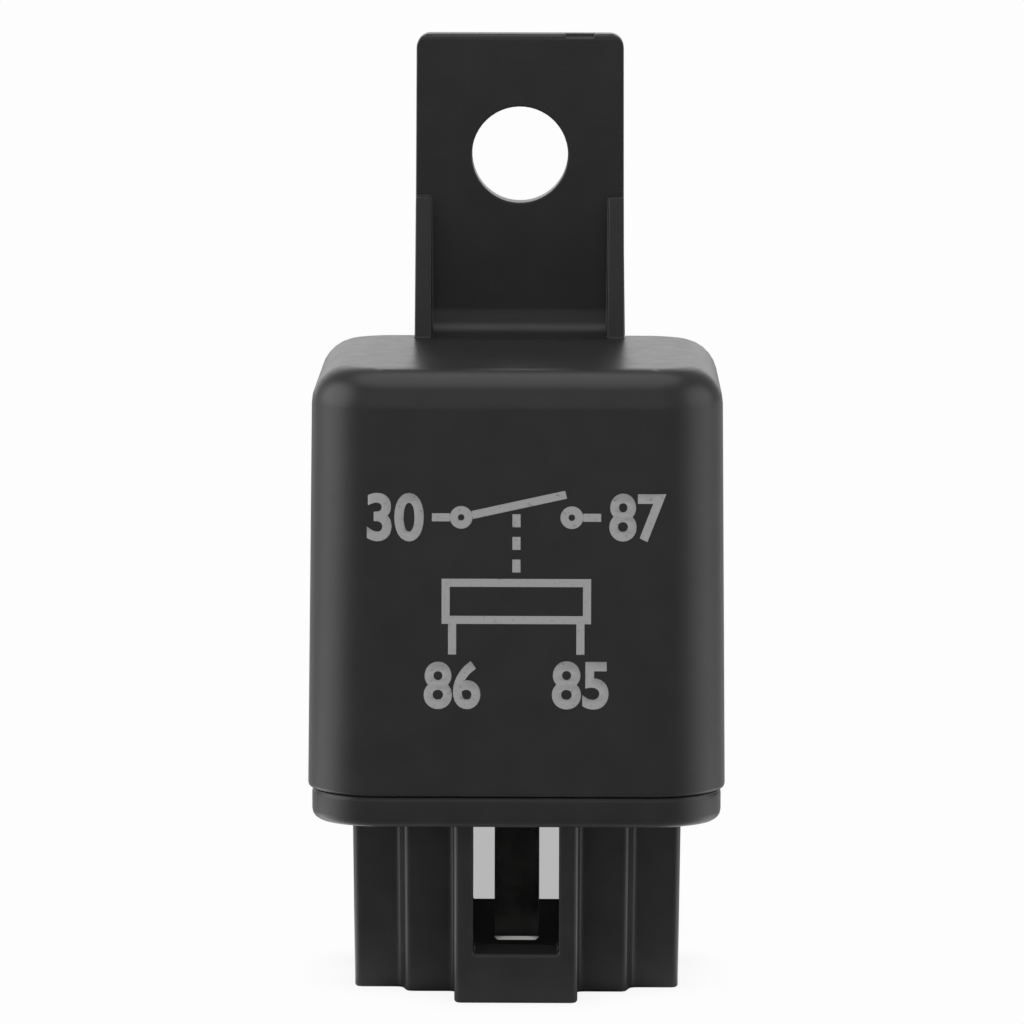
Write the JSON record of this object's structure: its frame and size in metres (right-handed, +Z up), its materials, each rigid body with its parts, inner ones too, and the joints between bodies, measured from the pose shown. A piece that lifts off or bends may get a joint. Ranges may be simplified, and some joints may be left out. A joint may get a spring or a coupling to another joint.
{
  "type": "automotive relay",
  "caption": "Plug-in automotive relay with a moulded mounting tab, a stepped plug skirt with latch windows, and a working armature inside",
  "frame": {"origin": "middle of the skirt's rim, under the middle of the case, on the surface the relay stands on", "axes": "+X to the right of the printed front, +Y to the back (the mounting tab's side), +Z up from the skirt to the tab"},
  "size_m": [0.026, 0.026, 0.0594],
  "materials": {
    "case_plastic": "fine spark-eroded moulding",
    "base_plastic": "plain moulding",
    "tinned_brass": "tin-plated brass strip",
    "bobbin_plastic": "plain moulding",
    "copper_wire": "enamelled copper wire",
    "plated_steel": "zinc-plated soft iron",
    "spring_bronze": "rolled spring bronze",
    "contact_silver": "silver alloy",
    "resistor_coating": "lacquer"
  },
  "bodies": {
    "relay_body": {"cover": "case_plastic", "base": "base_plastic", "terminal_30": "tinned_brass", "terminal_87": "tinned_brass", "terminal_85": "tinned_brass", "terminal_86": "tinned_brass", "bobbin": "bobbin_plastic", "coil_winding": "copper_wire", "coil_lead_85": "copper_wire", "coil_lead_86": "copper_wire", "core": "plated_steel", "yoke": "plated_steel", "yoke_rivets": "spring_bronze", "fixed_contact": "contact_silver", "back_stop": "tinned_brass", "suppression_resistor": "resistor_coating"},
    "armature_unit": {"armature": "plated_steel", "armature_spring": "spring_bronze", "armature_rivets": "spring_bronze", "moving_contact": "contact_silver"}
  },
  "joints": [
    {"name": "armature_swing", "type": "hinge", "parent": "relay_body", "child": "armature_unit", "pos_m": [-0.00965, 0, 0.0333], "axis": [0, 1, 0], "range_deg": [0, 3], "stiffness_Nm_per_rad": 0.02, "springref_deg": -17.19, "deforming": ["armature_spring"]}
  ]
}
